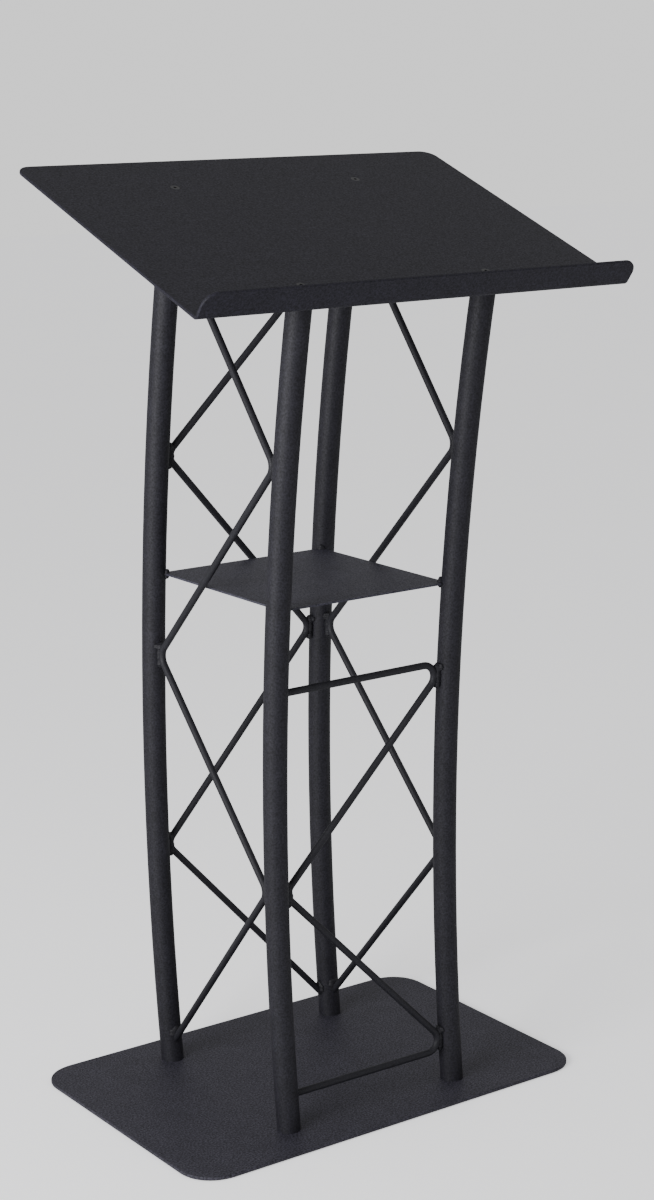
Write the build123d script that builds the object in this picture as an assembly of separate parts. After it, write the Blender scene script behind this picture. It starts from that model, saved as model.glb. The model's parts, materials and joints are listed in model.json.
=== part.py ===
from build123d import *
from math import asin, cos, degrees, radians, sin, sqrt, tan
import os

# A free-standing steel lectern: four bent tube legs on a flat base plate, laced together by
# bent rod on each side, with a small shelf between the legs and a sloping reading tray on top.
# +Z is up, the speaker stands on the -Y side, and the origin is the middle of the base's underside.

# Base plate
BASE_WIDTH = 635.0
BASE_DEPTH = 432.0
BASE_THICKNESS = 5.0
BASE_CORNER = 50.0

# Legs: round tube, all four bent to the same arc, which bulges away from the speaker
LEG_SPACING_X = 274.7
LEG_SPACING_Y = 297.0
TUBE_RADIUS = 15.875
TUBE_WALL = 1.5
LEG_ARC_RADIUS = 3566.0
LEG_ARC_HEIGHT = 333.4      # height where the arc stands furthest from the speaker
PLUG_CLEARANCE = 0.05       # between a plug and the tube that it is welded into
PLUG_LENGTH = 24.0

# Reading tray: one folded sheet
TRAY_WIDTH = 635.0
TRAY_DEPTH = 432.0          # up the slope, from the fold to the back edge
TRAY_THICKNESS = 4.0
TRAY_SLOPE = 20.0           # degrees
TRAY_FOLD_Y = -274.3
TRAY_FOLD_Z = 1091.0
TRAY_CORNER = 20.0
LIP_LENGTH = 35.7           # from the fold to the lip's free edge
LIP_LEAN = 17.0             # degrees that the lip leans out from square to the tray
LIP_CORNER = 20.0
FOLD_INNER_RADIUS = 4.0
SHEET_EDGE = 1.2            # rounding of the plates' cut edges

# Lacing rod
ROD_RADIUS = 4.75
ROD_BEND = 17.0             # to the rod's centre line
WELD_CLEARANCE = 0.03
END_CLEARANCE = 0.05
BEND_WELD_RADIUS = 7.0
END_WELD_RADIUS = 8.0

# Shelf
SHELF_TOP = 711.5
SHELF_THICKNESS = 2.5
SHELF_HALF_WIDTH = 129.5
SHELF_FRONT = -152.0
SHELF_BACK = 136.5
SHELF_LEG_GAP = 2.5
SHELF_WELD_RADIUS = 5.5

# Fasteners: M6 socket screws
SCREW_RADIUS = 2.95
THREAD_RADIUS = 3.0
CLEARANCE_RADIUS = 3.3
COUNTERSUNK_RADIUS = 6.0
COUNTERSUNK_DEPTH = 3.0
HEAD_CLEARANCE = 0.1
SCREW_LENGTH = 16.0
THREAD_DEPTH = 19.0
SOCKET_ACROSS_FLATS = 4.0
SOCKET_DEPTH = 1.5

# Places of the legs: the sign of X, then the sign of Y
LEGS = {
    "front_left": (-1, -1),
    "front_right": (1, -1),
    "back_left": (-1, 1),
    "back_right": (1, 1),
}

slope = radians(TRAY_SLOPE)
tray_normal = Vector(0, -sin(slope), cos(slope))
tray_frame = Plane(origin=(0, TRAY_FOLD_Y, TRAY_FOLD_Z), x_dir=(1, 0, 0), z_dir=tray_normal)
tray_underside = tray_frame.offset(-TRAY_THICKNESS)


def arc_reach(height):
    """How far the leg's arc stands from its centre of curvature at a height, along Y."""
    return sqrt(LEG_ARC_RADIUS**2 - (height - LEG_ARC_HEIGHT) ** 2)


def leg_point(leg, height):
    """Where a leg's centre line is at a height."""
    side, end = LEGS[leg]
    bow = arc_reach(height) - arc_reach(BASE_THICKNESS)
    return Vector(side * LEG_SPACING_X / 2, end * LEG_SPACING_Y / 2 + bow, height)


def leg_top(leg):
    """Where a leg's centre line meets the underside of the tray."""
    height = TRAY_FOLD_Z
    for _ in range(20):
        y = leg_point(leg, height).Y
        height = TRAY_FOLD_Z + (y - TRAY_FOLD_Y) * tan(slope) - TRAY_THICKNESS / cos(slope)
    return leg_point(leg, height)


def bent_bar(leg, radius):
    """A solid round bar along a leg's arc, longer than the leg at both ends."""
    foot = leg_point(leg, BASE_THICKNESS)
    centre = Vector(foot.X, foot.Y - arc_reach(BASE_THICKNESS), LEG_ARC_HEIGHT)
    axis = Axis(centre, (1, 0, 0))
    low = degrees(asin((-40.0 - LEG_ARC_HEIGHT) / LEG_ARC_RADIUS))
    high = degrees(asin((1280.0 - LEG_ARC_HEIGHT) / LEG_ARC_RADIUS))
    crown = Plane(origin=centre + Vector(0, LEG_ARC_RADIUS, 0), x_dir=(1, 1, 0), z_dir=(0, 0, 1))
    section = crown * Circle(radius)
    return revolve(section.rotate(axis, low), axis, high - low)


def between(bar, low_plane, high_plane):
    """The stretch of a bar above one plane and below another."""
    bar = split(bar, bisect_by=low_plane, keep=Keep.TOP)
    return split(bar, bisect_by=high_plane, keep=Keep.BOTTOM)


def base_top_plane():
    return Plane.XY.offset(BASE_THICKNESS)


def make_leg(leg):
    bar = bent_bar(leg, TUBE_RADIUS) - bent_bar(leg, TUBE_RADIUS - TUBE_WALL)
    return between(bar, base_top_plane(), tray_underside)


def plug_core(leg):
    return bent_bar(leg, TUBE_RADIUS - TUBE_WALL - PLUG_CLEARANCE)


def screw_frame(leg):
    """The frame of a tray screw: its origin on the reading surface, its Z out of the tray."""
    on_surface = leg_top(leg) + tray_normal * TRAY_THICKNESS
    return Plane(origin=on_surface, x_dir=(1, 0, 0), z_dir=tray_normal)


def foot_frame(leg):
    """The frame of a base screw: its origin on the base's underside, its Z down."""
    foot = leg_point(leg, BASE_THICKNESS)
    return Plane(origin=(foot.X, foot.Y, 0), x_dir=(1, 0, 0), z_dir=(0, 0, -1))


def hole_below(frame, top, depth, radius):
    """A round cutter on a frame's Z axis, going down from Z = top."""
    return frame * Pos(0, 0, top - depth / 2) * Cylinder(radius, depth)


def make_top_plug(leg):
    low = tray_underside.offset(-PLUG_LENGTH)
    plug = between(plug_core(leg), low, tray_underside)
    return plug - hole_below(screw_frame(leg), -TRAY_THICKNESS, THREAD_DEPTH, THREAD_RADIUS)


def make_foot_plug(leg):
    plug = between(plug_core(leg), base_top_plane(), base_top_plane().offset(PLUG_LENGTH))
    return plug - hole_below(foot_frame(leg), -BASE_THICKNESS, THREAD_DEPTH, THREAD_RADIUS)


def make_socket():
    """The hexagon recess of a screw head, opening upwards at Z = 0."""
    hexagon = RegularPolygon(SOCKET_ACROSS_FLATS / 2, 6, major_radius=False)
    return extrude(hexagon, -SOCKET_DEPTH)


def countersink(extra):
    """A countersunk head, or with some extra its seat, below Z = 0."""
    wide = COUNTERSUNK_RADIUS + extra
    narrow = wide - COUNTERSUNK_DEPTH
    return Pos(0, 0, -COUNTERSUNK_DEPTH / 2) * Cone(narrow, wide, COUNTERSUNK_DEPTH)


def make_screw():
    """A countersunk socket screw that points down, its head flush with Z = 0."""
    shank = Pos(0, 0, -SCREW_LENGTH / 2) * Cylinder(SCREW_RADIUS, SCREW_LENGTH)
    return countersink(0) + shank - make_socket()


def screw_hole(frame, thickness):
    """The countersunk clearance hole for a screw through a plate."""
    return frame * countersink(HEAD_CLEARANCE) + hole_below(frame, 0, thickness, CLEARANCE_RADIUS)


def make_base_plate():
    plate = Box(BASE_WIDTH, BASE_DEPTH, BASE_THICKNESS, align=(Align.CENTER, Align.CENTER, Align.MIN))
    plate = fillet(plate.edges().filter_by(Axis.Z), BASE_CORNER)
    plate = fillet(plate.edges().filter_by(Axis.Z, reverse=True), SHEET_EDGE)
    for leg in LEGS:
        plate -= screw_hole(foot_frame(leg), BASE_THICKNESS)
    return plate


def tray_profile():
    """The tray from the side, with its reading surface on Z = 0 and its fold at Y = 0."""
    lean = radians(LIP_LEAN)
    free_edge = LIP_LENGTH * Vector(-sin(lean), cos(lean))
    outer_edge = free_edge + TRAY_THICKNESS * Vector(-cos(lean), -sin(lean))
    down_face = (outer_edge.Y + TRAY_THICKNESS) / cos(lean)
    outer_fold = outer_edge - down_face * Vector(-sin(lean), cos(lean))
    back = [(TRAY_DEPTH, -TRAY_THICKNESS), (TRAY_DEPTH, 0)]
    corners = [Vector(0, 0), free_edge, outer_edge, outer_fold]
    return [(corner.X, corner.Y) for corner in corners] + back


def make_tray():
    """The folded plate, drawn flat in the tray's own frame: X across, Y up the slope, Z off it."""
    profile = tray_profile()
    side = Plane.YZ * Polygon(*profile, align=None)
    sheet = extrude(side, TRAY_WIDTH / 2, both=True)
    inner = sheet.edges().filter_by(Axis.X).sort_by_distance((0, *profile[0]))[0]
    sheet = fillet(inner, FOLD_INNER_RADIUS)
    outer = sheet.edges().filter_by(Axis.X).sort_by_distance((0, *profile[3]))[0]
    sheet = fillet(outer, FOLD_INNER_RADIUS + TRAY_THICKNESS)
    back = sheet.edges().filter_by(Axis.Z).filter_by_position(Axis.Y, TRAY_DEPTH - 1, TRAY_DEPTH + 1)
    sheet = fillet(back, TRAY_CORNER)
    free_middle = [(one + two) / 2 for one, two in zip(profile[1], profile[2])]
    lip_ends = [sheet.edges().sort_by_distance((end * TRAY_WIDTH / 2, *free_middle))[0] for end in (-1, 1)]
    sheet = fillet(lip_ends, LIP_CORNER)
    rim = [edge for edge in sheet.edges() if TRAY_THICKNESS + 0.1 < edge.length < TRAY_WIDTH - 1]
    tray = tray_frame * fillet(rim, SHEET_EDGE)
    for leg in LEGS:
        tray -= screw_hole(screw_frame(leg), TRAY_THICKNESS)
    return tray


def make_shelf():
    low = (Align.CENTER, Align.MIN, Align.MAX)
    depth = SHELF_BACK - SHELF_FRONT
    plate = Pos(0, SHELF_FRONT, SHELF_TOP) * Box(2 * SHELF_HALF_WIDTH, depth, SHELF_THICKNESS, align=low)
    for leg in LEGS:
        notch = leg_point(leg, SHELF_TOP)
        plate -= Pos(notch) * Cylinder(TUBE_RADIUS + SHELF_LEG_GAP, 4 * SHELF_THICKNESS)
    return plate


def towards(leg, other):
    """The level direction from one leg to another."""
    start, finish = leg_point(leg, 0), leg_point(other, 0)
    return (finish - start).normalized()


def bend_contact(leg, other, height, gap, swing):
    """Where the centre line of a bend passes the leg that it is welded to.

    The gap is between the rod and the leg, and the swing is a shift away from the lectern's middle.
    """
    facing = towards(leg, other)
    sideways = facing.cross(Vector(0, 0, 1))
    if sideways.dot(leg_point(leg, BASE_THICKNESS)) < 0:
        sideways = -sideways
    return leg_point(leg, height) + facing * (TUBE_RADIUS + ROD_RADIUS + gap) + sideways * swing


def bend_corner(before, contact, after, outwards):
    """The sharp corner whose rounded bend reaches just as far outwards as contact."""
    one = (before - contact).normalized()
    two = (after - contact).normalized()
    half = radians(one.get_angle(two)) / 2
    middle = (one + two).normalized()
    reach = -middle.dot(outwards) * ROD_BEND / sin(half) - ROD_BEND
    return contact + outwards * reach


def rod_path(stops):
    """The corners of a rod that starts and ends in a leg and is bent at each leg between.

    Each stop is a leg, the leg across from it, a height, a gap and a swing.
    """
    contacts = [bend_contact(*stop) for stop in stops]
    contacts[0] = leg_point(stops[0][0], stops[0][2])
    contacts[-1] = leg_point(stops[-1][0], stops[-1][2])
    corners = [contacts[0]]
    for index in range(1, len(stops) - 1):
        before, contact, after = contacts[index - 1:index + 2]
        outwards = towards(stops[index][1], stops[index][0])
        corners.append(bend_corner(before, contact, after, outwards))
    corners.append(contacts[-1])
    return corners


def zigzag(first, second, bends):
    """The stops of a rod that goes from one leg to the other and back."""
    pair = (first, second)
    return [(pair[index % 2], pair[1 - index % 2], *bend) for index, bend in enumerate(bends)]


def make_rod(stops):
    """A bent rod, with its two ends coped to the legs that they butt against."""
    path = FilletPolyline(*rod_path(stops), radius=ROD_BEND)
    section = Plane(origin=path @ 0, z_dir=path % 0) * Circle(ROD_RADIUS)
    rod = sweep(section, path=path)
    for leg in (stops[0][0], stops[-1][0]):
        rod -= bent_bar(leg, TUBE_RADIUS + END_CLEARANCE)
    return max(rod.solids(), key=lambda solid: solid.volume)


def weld_ball(leg, place, radius):
    """A ball of weld metal on the side of a leg."""
    above = leg_point(leg, place.Z + 1) - leg_point(leg, place.Z)
    outwards = place - leg_point(leg, place.Z)
    tube = Plane(origin=leg_point(leg, place.Z), x_dir=-outwards, z_dir=above)
    ball = Plane(origin=place, x_dir=outwards.cross(above), z_dir=above) * Sphere(radius)
    return ball - tube * Cylinder(TUBE_RADIUS + WELD_CLEARANCE, 8 * radius)


def make_shelf_weld(leg, shelf):
    """A bead of weld that bridges the gap between a leg and the shelf's notched corner."""
    middle = leg_point(leg, SHELF_TOP - SHELF_THICKNESS / 2)
    inwards = Vector(-middle.X, -LEGS[leg][1] * abs(middle.X), 0).normalized()
    place = middle + inwards * (TUBE_RADIUS + SHELF_LEG_GAP / 2)
    return weld_ball(leg, place, SHELF_WELD_RADIUS) - shelf


def make_end_weld(leg, other, end, inner):
    """A collar of weld where the end of a rod butts against a leg."""
    run = (inner - end).normalized()
    place = end + run * (TUBE_RADIUS / run.dot(towards(leg, other)))
    along = Plane(origin=place, z_dir=run)
    return weld_ball(leg, place, END_WELD_RADIUS) - along * Cylinder(ROD_RADIUS, 6 * END_WELD_RADIUS)


def make_bend_weld(leg, before, corner, after):
    """A bead of weld that fills the gap between a leg and the bend beside it."""
    one = (before - corner).normalized()
    two = (after - corner).normalized()
    half = radians(one.get_angle(two)) / 2
    centre = corner + (one + two).normalized() * (ROD_BEND / sin(half))
    axis = leg_point(leg, centre.Z)
    towards_leg = Vector(axis.X - centre.X, axis.Y - centre.Y, 0).normalized()
    nearest = centre + towards_leg * (ROD_BEND + ROD_RADIUS)
    from_axis = nearest - axis
    place = axis + from_axis.normalized() * (from_axis.length + TUBE_RADIUS) / 2
    ring = Plane(origin=centre, x_dir=one, z_dir=one.cross(two)) * Torus(ROD_BEND, ROD_RADIUS)
    return weld_ball(leg, place, BEND_WELD_RADIUS) - ring


def make_rod_welds(stops):
    """The weld at each leg that a rod touches."""
    corners = rod_path(stops)
    first, last = stops[0], stops[-1]
    beads = [
        make_end_weld(first[0], first[1], corners[0], corners[1]),
        make_end_weld(last[0], last[1], corners[-1], corners[-2]),
    ]
    for index in range(1, len(stops) - 1):
        beads.append(make_bend_weld(stops[index][0], *corners[index - 1:index + 2]))
    return beads


# The height, gap and swing of each rod at its ends and bends, from the top down
LEFT_BENDS = [(1161.8, 0, 0), (889.8, 4.3, 2.3), (599.8, 3.0, 0.8), (329.8, 3.0, 1.5), (23.8, 0, 0)]
RIGHT_BENDS = [(1169.3, 0, 0), (889.8, 1.6, -0.3), (601.8, 2.8, 0), (332.3, -1.1, 7.5), (29.8, 0, 0)]
BACK_BENDS = [(1155.8, 0, 0), (867.8, 0.2, 2.5), (598.1, 2.9, 0), (319.8, 0.2, 2.5), (24.8, 0, 0)]
FRONT_BENDS = [(602.3, 0, 0), (603.3, 1.5, 0), (327.8, -0.45, -4.5), (51.8, 0.2, 2.5), (51.8, 0, 0)]

ROD_STOPS = {
    "left": zigzag("back_left", "front_left", LEFT_BENDS),
    "right": zigzag("back_right", "front_right", RIGHT_BENDS),
    "back": zigzag("back_right", "back_left", BACK_BENDS),
    "front": zigzag("front_left", "front_right", FRONT_BENDS),
}


def save(name, shape):
    export_step(shape, f"parts/{name}.step")


def main():
    os.makedirs("parts", exist_ok=True)
    shelf = make_shelf()
    save("base_plate", make_base_plate())
    save("reading_tray", make_tray())
    save("shelf_plate", shelf)
    for leg in LEGS:
        save(f"leg_{leg}", make_leg(leg))
        save(f"top_plug_{leg}", make_top_plug(leg))
        save(f"foot_plug_{leg}", make_foot_plug(leg))
    for side, stops in ROD_STOPS.items():
        save(f"lacing_rod_{side}", make_rod(stops))
        save(f"rod_welds_{side}", Compound(children=make_rod_welds(stops)))
    save("shelf_welds", Compound(children=[make_shelf_weld(leg, shelf) for leg in LEGS]))
    screw = make_screw()
    save("tray_screws", Compound(children=[screw_frame(leg) * screw for leg in LEGS]))
    save("base_screws", Compound(children=[foot_frame(leg) * screw for leg in LEGS]))


main()
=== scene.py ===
import json
import math
import random

import bmesh
import bpy
from mathutils import Matrix, Vector


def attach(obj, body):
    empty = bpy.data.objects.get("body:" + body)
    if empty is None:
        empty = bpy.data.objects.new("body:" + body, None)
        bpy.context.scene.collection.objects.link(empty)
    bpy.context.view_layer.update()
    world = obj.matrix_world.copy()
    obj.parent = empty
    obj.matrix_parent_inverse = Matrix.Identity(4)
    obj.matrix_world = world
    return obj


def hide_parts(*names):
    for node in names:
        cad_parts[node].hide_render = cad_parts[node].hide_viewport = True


# The looks of a black steel lectern: powder coat on the CAD solids, the weld beads that
# hold the rods and the shelf, the floor, the light and the camera. Everything is in metres.

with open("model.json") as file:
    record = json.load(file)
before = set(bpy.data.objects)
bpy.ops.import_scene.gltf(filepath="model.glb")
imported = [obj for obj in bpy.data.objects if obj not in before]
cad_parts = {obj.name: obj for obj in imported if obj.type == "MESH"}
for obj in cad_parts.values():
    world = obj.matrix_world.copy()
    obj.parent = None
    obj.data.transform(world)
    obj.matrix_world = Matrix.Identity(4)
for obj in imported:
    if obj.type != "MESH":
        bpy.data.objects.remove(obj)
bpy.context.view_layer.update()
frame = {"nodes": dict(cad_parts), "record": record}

# ---------------------------------------------------------------- camera

CAMERA_PLACE = Vector((-1.70928, -2.52758, 1.36229))
CAMERA_YAW = math.radians(36.12)
CAMERA_PITCH = math.radians(-18.44)
CAMERA_ROLL = math.radians(-0.61)
SENSOR_WIDTH = 36              # in millimetres, and so is the lens
LENS = 70.389
SHIFT = (-0.0486, 0.1985)      # of the picture, as shares of its longer side
NEAR_AND_FAR = (0.1, 50)


def make_camera():
    data = bpy.data.cameras.new("camera")
    data.sensor_width = SENSOR_WIDTH
    data.lens = LENS
    data.shift_x, data.shift_y = SHIFT
    data.clip_start, data.clip_end = NEAR_AND_FAR
    camera = bpy.data.objects.new("camera", data)
    bpy.context.scene.collection.objects.link(camera)
    level = math.cos(CAMERA_PITCH)
    ahead = Vector((math.sin(CAMERA_YAW), math.cos(CAMERA_YAW), 0))
    forward = ahead * level + Vector((0, 0, math.sin(CAMERA_PITCH)))
    right = Vector((math.cos(CAMERA_YAW), -math.sin(CAMERA_YAW), 0))
    up = right.cross(forward)
    rolled_right = right * math.cos(CAMERA_ROLL) + up * math.sin(CAMERA_ROLL)
    rolled_up = up * math.cos(CAMERA_ROLL) - right * math.sin(CAMERA_ROLL)
    turn = Matrix((rolled_right, rolled_up, -forward)).transposed()
    camera.matrix_world = Matrix.Translation(CAMERA_PLACE) @ turn.to_4x4()
    bpy.context.scene.camera = camera


make_camera()

# ---------------------------------------------------------------- materials


class Nodes:
    """A short way to write a material's nodes."""

    def __init__(self, name):
        self.material = bpy.data.materials.new(name)
        self.material.use_nodes = True
        self.tree = self.material.node_tree
        self.shader = self.tree.nodes["Principled BSDF"]
        self.place = self.add("ShaderNodeTexCoord").outputs["Object"]

    def add(self, kind, **values):
        node = self.tree.nodes.new(kind)
        for key, value in values.items():
            setattr(node, key, value)
        return node

    def join(self, output, socket):
        self.tree.links.new(output, socket)

    def noise(self, size, detail=2.0, roughness=0.5):
        """Noise whose lumps are about size metres across."""
        node = self.add("ShaderNodeTexNoise")
        self.join(self.place, node.inputs["Vector"])
        node.inputs["Scale"].default_value = 1 / size
        node.inputs["Detail"].default_value = detail
        node.inputs["Roughness"].default_value = roughness
        return node.outputs["Fac"]

    def spread(self, value, low, high, to_low, to_high):
        """Stretch the range from low to high over the range from to_low to to_high."""
        node = self.add("ShaderNodeMapRange")
        self.join(value, node.inputs["Value"])
        limits = {"From Min": low, "From Max": high, "To Min": to_low, "To Max": to_high}
        for key, number in limits.items():
            node.inputs[key].default_value = number
        return node.outputs["Result"]

    def blend(self, factor, first, second):
        """A mix of two colours."""
        node = self.add("ShaderNodeMix", data_type="RGBA")
        self.join(factor, node.inputs[0])
        for index, colour in ((6, first), (7, second)):
            node.inputs[index].default_value = (*colour, 1)
        return node.outputs[2]

    def bump(self, height, strength, distance, below=None):
        """A relief of this height, on top of the relief below."""
        node = self.add("ShaderNodeBump")
        self.join(height, node.inputs["Height"])
        node.inputs["Strength"].default_value = strength
        node.inputs["Distance"].default_value = distance
        if below is not None:
            self.join(below, node.inputs["Normal"])
        return node.outputs["Normal"]


COAT_ROUGHNESS = (0.68, 0.5)   # of the dark and of the light grains
COAT_SPECULAR = 0.3
CLOUD_SIZE = 0.03              # of the soft patches of tone
PEBBLE_TO_GRAIN = 1.3          # how many times as large as a grain a pebble is
PEBBLE_HEIGHT = 0.0004
PEEL_SIZE = 0.012
PEEL_HEIGHT = 0.0006
PEEL_STRENGTH = 0.12
METAL_GRAIN_HEIGHT = 0.0001


def powder_coat(name, dark, light, grain, relief=0.35, mottling=0.10):
    """Textured satin powder coat: fine grain, soft clouds of tone, pebbles and a faint orange peel."""
    n = Nodes(name)
    fine = n.noise(grain, 3.0, 0.6)
    clouds = n.noise(CLOUD_SIZE, 3.0, 0.55)
    colour = n.blend(n.spread(fine, 0.35, 0.65, 0, 1), dark, light)
    tone = n.spread(clouds, 0.3, 0.7, 1 - mottling, 1 + mottling)
    toned = n.add("ShaderNodeVectorMath", operation="SCALE")
    n.join(colour, toned.inputs[0])
    n.join(tone, toned.inputs["Scale"])
    n.join(toned.outputs[0], n.shader.inputs["Base Color"])
    n.join(n.spread(fine, 0.25, 0.75, *COAT_ROUGHNESS), n.shader.inputs["Roughness"])
    pebbles = n.bump(n.noise(grain * PEBBLE_TO_GRAIN), relief, PEBBLE_HEIGHT)
    peel = n.bump(n.noise(PEEL_SIZE, 1.0), PEEL_STRENGTH, PEEL_HEIGHT, pebbles)
    n.join(peel, n.shader.inputs["Normal"])
    n.shader.inputs["Specular IOR Level"].default_value = COAT_SPECULAR
    return n.material


def metal(name, dark, light, grain, detail, roughness, relief, metallic):
    """Metal without a coat, with a fine grain in its tone, its shine and its relief."""
    n = Nodes(name)
    fine = n.noise(grain, detail)
    n.join(n.blend(fine, dark, light), n.shader.inputs["Base Color"])
    n.join(n.spread(fine, 0.3, 0.7, *roughness), n.shader.inputs["Roughness"])
    n.join(n.bump(fine, relief, METAL_GRAIN_HEIGHT), n.shader.inputs["Normal"])
    n.shader.inputs["Metallic"].default_value = metallic
    return n.material


finishes = {
    "base_coating": powder_coat(
        "base_coat", (0.0072, 0.0069, 0.0108), (0.0650, 0.0615, 0.0835), grain=0.0024, relief=0.45
    ),
    "tray_coating": powder_coat(
        "tray_coat", (0.0050, 0.0046, 0.0079), (0.0200, 0.0186, 0.0310), grain=0.0024, relief=0.2
    ),
    "shelf_coating": powder_coat(
        "shelf_coat", (0.0118, 0.0112, 0.0177), (0.0770, 0.0745, 0.1045), grain=0.0020, relief=0.5
    ),
    "leg_coating": powder_coat(
        "leg_coat",
        (0.0066, 0.0063, 0.0092),
        (0.0202, 0.0193, 0.0272),
        grain=0.0024,
        relief=0.5,
        mottling=0.16,
    ),
    "rod_coating": powder_coat(
        "rod_coat", (0.0080, 0.0079, 0.0105), (0.0220, 0.0217, 0.0280), grain=0.0012
    ),
    "weld_coating": powder_coat(
        "weld_coat", (0.0085, 0.0083, 0.0105), (0.0225, 0.0220, 0.0280), grain=0.0012
    ),
    "bare_steel": metal(
        "bare_steel",
        (0.36, 0.36, 0.37),
        (0.52, 0.52, 0.53),
        grain=0.0006,
        detail=4.0,
        roughness=(0.28, 0.45),
        relief=0.2,
        metallic=1.0,
    ),
    "screw_black": metal(
        "black_oxide",
        (0.012, 0.012, 0.014),
        (0.026, 0.026, 0.029),
        grain=0.0008,
        detail=3.0,
        roughness=(0.3, 0.42),
        relief=0.15,
        metallic=0.6,
    ),
}

slot_of = {part["node"]: part["material_slot"] for part in frame["record"]["subparts"]}
for node, thing in frame["nodes"].items():
    for holder in thing.material_slots:
        holder.material = finishes[slot_of[node]]

# ---------------------------------------------------------------- weld beads

TUBE_RADIUS = 0.015875
LEG_SPACING_X = 0.2747
LEG_SPACING_Y = 0.297
LEG_ARC_RADIUS = 3.566
LEG_ARC_HEIGHT = 0.3334        # where the legs bow furthest
LEG_FOOT = 0.005               # the legs stand on the base plate
LEG_PLACES = [
    (side * LEG_SPACING_X / 2, end * LEG_SPACING_Y / 2) for side in (-1, 1) for end in (-1, 1)
]

# The lumps of each kind of weld: how far each is lifted off the tube, its half sizes round
# the tube, out of it and along it, and how far above the weld's middle it sits
LUMPS = {
    "sloped_end": [(0.0006, (0.0088, 0.0030, 0.0098), 0.0060)],
    "level_end": [(0.0002, (0.0066, 0.0022, 0.0066), 0)],
    "bend": [
        (0.0030, (0.0046, 0.0066, 0.0125), 0),
        (0.0034, (0.0043, 0.0056, 0.0062), 0.0112),
        (0.0034, (0.0043, 0.0056, 0.0062), -0.0112),
        (0.0012, (0.0078, 0.0034, 0.0052), 0.0120),
    ],
    "shelf_corner": [(0.0013, (0.0050, 0.0042, 0.0072), 0)],
}
TALL_WELD = 0.0152             # the CAD's welds round rod ends are taller than this, the others not
UNEVENNESS = 0.001             # how far a weld may sit above or below its place
BEAD_ROUND = 20                # faces round a bead
BEAD_LONG = 16                 # faces along it
BEAD_DETAIL = 0.0006           # the size of the cells that fuse the beads
RIPPLE_DEPTHS = (0.07, 0.05)   # of the ripples along a bead and round it, as shares of its size
RIPPLE_TURNS = (9, 5)          # how many radians of them fit in half a bead
SAME_POINT = 1e-6              # corners nearer to each other than this are one
chance = random.Random(12)


def arc_reach(height):
    """How far a leg's arc stands from its centre of curvature at a height, along Y."""
    return math.sqrt(LEG_ARC_RADIUS**2 - (height - LEG_ARC_HEIGHT) ** 2)


def leg_middle(place, height):
    """The centre line of the leg that stands at this place, at a height."""
    return Vector((place[0], place[1] + arc_reach(height) - arc_reach(LEG_FOOT), height))


def loose_part(start, waiting):
    """The corners that edges join to this one, which are taken out of those waiting."""
    front = [start]
    points = []
    while front:
        vert = front.pop()
        points.append(vert.co.copy())
        for link in vert.link_edges:
            other = link.other_vert(vert)
            if other in waiting:
                waiting.remove(other)
                front.append(other)
    return points


def part_boxes(thing):
    """The lowest and highest corners of a mesh's loose parts, sorted by place to the nearest 10 mm."""
    mesh = bmesh.new()
    mesh.from_mesh(thing.data)
    bmesh.ops.remove_doubles(mesh, verts=mesh.verts, dist=SAME_POINT)
    waiting = set(mesh.verts)
    boxes = []
    while waiting:
        points = loose_part(waiting.pop(), waiting)
        low = Vector([min(point[axis] for point in points) for axis in range(3)])
        high = Vector([max(point[axis] for point in points) for axis in range(3)])
        boxes.append((low, high))
    mesh.free()
    return sorted(boxes, key=lambda box: [round(value, 2) for value in box[0].zxy])


def ripple(corner, phase):
    """How much further out a corner of a round ball is moved, as a factor near 1."""
    along = RIPPLE_DEPTHS[0] * math.sin(RIPPLE_TURNS[0] * corner.z + phase)
    around = RIPPLE_DEPTHS[1] * math.sin(RIPPLE_TURNS[1] * corner.x - phase)
    return 1 + along + around


def add_bead(mesh, leg, height, outwards, lift, half_sizes):
    """A rippled lump of weld, wrapped round the leg and centred at this height on its outwards side.

    Its half sizes are round the leg, out of it and along it.
    """
    sideways = outwards.cross(Vector((0, 0, 1)))
    phase = chance.uniform(0, 6)
    ball = bmesh.ops.create_uvsphere(mesh, u_segments=BEAD_ROUND, v_segments=BEAD_LONG, radius=1)
    for vert in ball["verts"]:
        swell = ripple(vert.co, phase)
        around, out, along = [vert.co[axis] * half_sizes[axis] * swell for axis in range(3)]
        angle = around / TUBE_RADIUS
        facing = outwards * math.cos(angle) + sideways * math.sin(angle)
        vert.co = leg_middle(leg, height + along) + facing * (TUBE_RADIUS + lift + out)


def nearest_leg(point):
    """The place of the leg whose centre line is nearest to a point."""
    return min(LEG_PLACES, key=lambda place: (leg_middle(place, point.z) - point).length)


def make_beads(node, tall_kind, short_kind):
    """The beads that stand for one weld node.

    Its tall CAD welds become beads of one kind, and its short ones beads of another.
    """
    mesh = bmesh.new()
    for low, high in part_boxes(frame["nodes"][node]):
        middle = (low + high) / 2
        leg = nearest_leg(middle)
        outwards = middle - leg_middle(leg, middle.z)
        outwards = Vector((outwards.x, outwards.y, 0)).normalized()
        kind = tall_kind if high.z - low.z > TALL_WELD else short_kind
        height = middle.z + chance.uniform(-UNEVENNESS, UNEVENNESS)
        for lift, half_sizes, step in LUMPS[kind]:
            add_bead(mesh, leg, height + step, outwards, lift, half_sizes)
    data = bpy.data.meshes.new(node.replace("welds", "beads"))
    mesh.to_mesh(data)
    mesh.free()
    data.materials.append(finishes["weld_coating"])
    beads = bpy.data.objects.new(data.name, data)
    bpy.context.scene.collection.objects.link(beads)
    fuse = beads.modifiers.new("fuse", "REMESH")
    fuse.mode = "VOXEL"
    fuse.voxel_size = BEAD_DETAIL
    fuse.use_smooth_shade = True
    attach(beads, "root")
    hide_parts(node)


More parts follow.
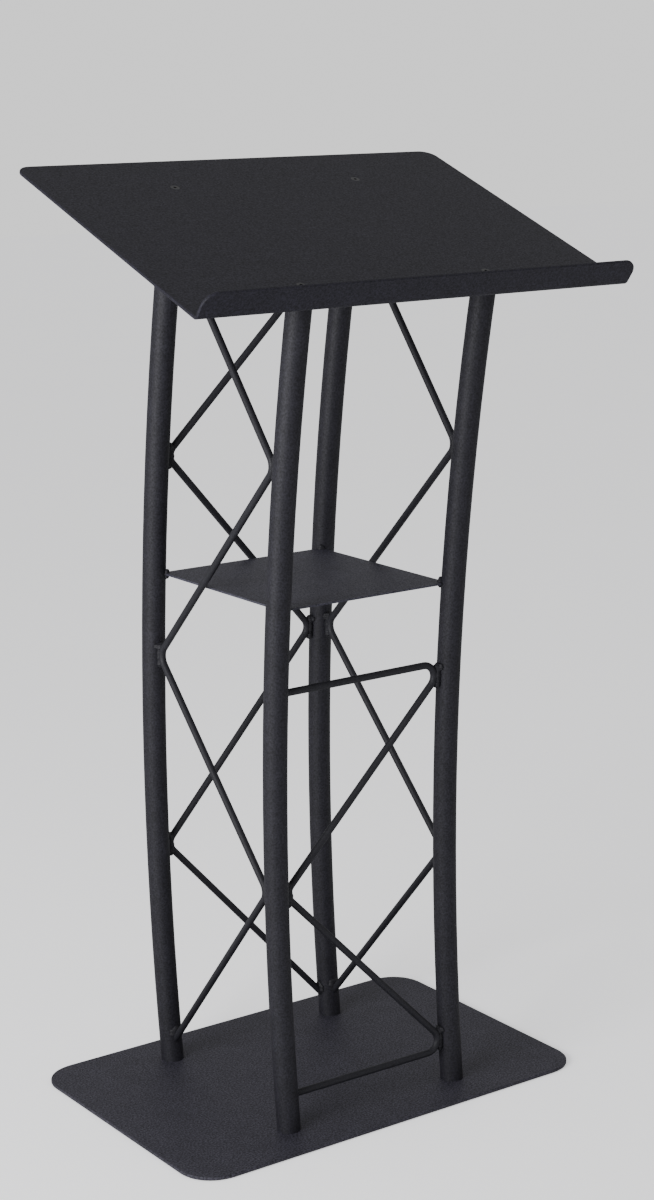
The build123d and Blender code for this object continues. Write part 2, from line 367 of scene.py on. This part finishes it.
for rod in ("left", "right", "back"):
    make_beads("rod_welds_" + rod, "sloped_end", "bend")
make_beads("rod_welds_front", "level_end", "bend")
make_beads("shelf_welds", "shelf_corner", "shelf_corner")

# ---------------------------------------------------------------- floor and light

FLOOR_SIZE = 30
FLOOR_DROP = 0.0005            # how far the floor lies below the base, so that they don't flicker
BACKDROP = 1.1                 # how bright the camera sees the backdrop
FLOOR_GLOW = 0.4               # how bright the camera sees the floor glow of its own
FLOOR_LIFT = 0.5               # how much paler the floor is to the camera, as a share
ROOM_LIGHT = 0.5               # how bright the room is for everything else
KEY_PLACE = Vector((-2.9, -0.75, 1.35))
KEY_AIM = Vector((0, 0, 3.3))  # above the lectern, so that its foot gets less light
KEY_SIZE = 1.8
KEY_POWER = 156                # in watts


def camera_switch(tree, amount, rest):
    """A number that is amount + rest for the camera's rays and rest for all others."""
    switch = tree.nodes.new("ShaderNodeMath")
    switch.operation = "MULTIPLY_ADD"
    tree.links.new(tree.nodes.new("ShaderNodeLightPath").outputs["Is Camera Ray"], switch.inputs[0])
    switch.inputs[1].default_value = amount
    switch.inputs[2].default_value = rest
    return switch.outputs[0]


def make_floor():
    bpy.ops.mesh.primitive_plane_add(size=FLOOR_SIZE, location=(0, 0, -FLOOR_DROP))
    floor = bpy.context.object
    floor.name = "floor"
    n = Nodes("pale_floor")
    pale = n.blend(n.noise(0.8, 2.0), (0.90, 0.90, 0.925), (0.93, 0.93, 0.95))
    lifted = n.add("ShaderNodeVectorMath", operation="SCALE")
    n.join(pale, lifted.inputs[0])
    n.join(camera_switch(n.tree, FLOOR_LIFT, 1.0), lifted.inputs["Scale"])
    matt = n.add("ShaderNodeBsdfDiffuse")
    n.join(lifted.outputs[0], matt.inputs["Color"])
    glow = n.add("ShaderNodeEmission")
    n.join(camera_switch(n.tree, FLOOR_GLOW, 0.0), glow.inputs["Strength"])
    both = n.add("ShaderNodeAddShader")
    n.join(matt.outputs[0], both.inputs[0])
    n.join(glow.outputs[0], both.inputs[1])
    n.join(both.outputs[0], n.tree.nodes["Material Output"].inputs["Surface"])
    floor.data.materials.append(n.material)


def make_key_light():
    data = bpy.data.lights.new("key", "AREA")
    data.shape = "RECTANGLE"
    data.size = KEY_SIZE
    data.size_y = KEY_SIZE
    data.energy = KEY_POWER
    light = bpy.data.objects.new("key", data)
    bpy.context.scene.collection.objects.link(light)
    light.location = KEY_PLACE
    light.rotation_mode = "QUATERNION"
    light.rotation_quaternion = (KEY_AIM - KEY_PLACE).to_track_quat("-Z", "Y")


def make_world():
    world = bpy.data.worlds.new("studio")
    bpy.context.scene.world = world
    world.use_nodes = True
    background = world.node_tree.nodes["Background"]
    background.inputs["Color"].default_value = (1, 1, 1, 1)
    strength = camera_switch(world.node_tree, BACKDROP - ROOM_LIGHT, ROOM_LIGHT)
    world.node_tree.links.new(strength, background.inputs["Strength"])


make_floor()
make_world()
make_key_light()
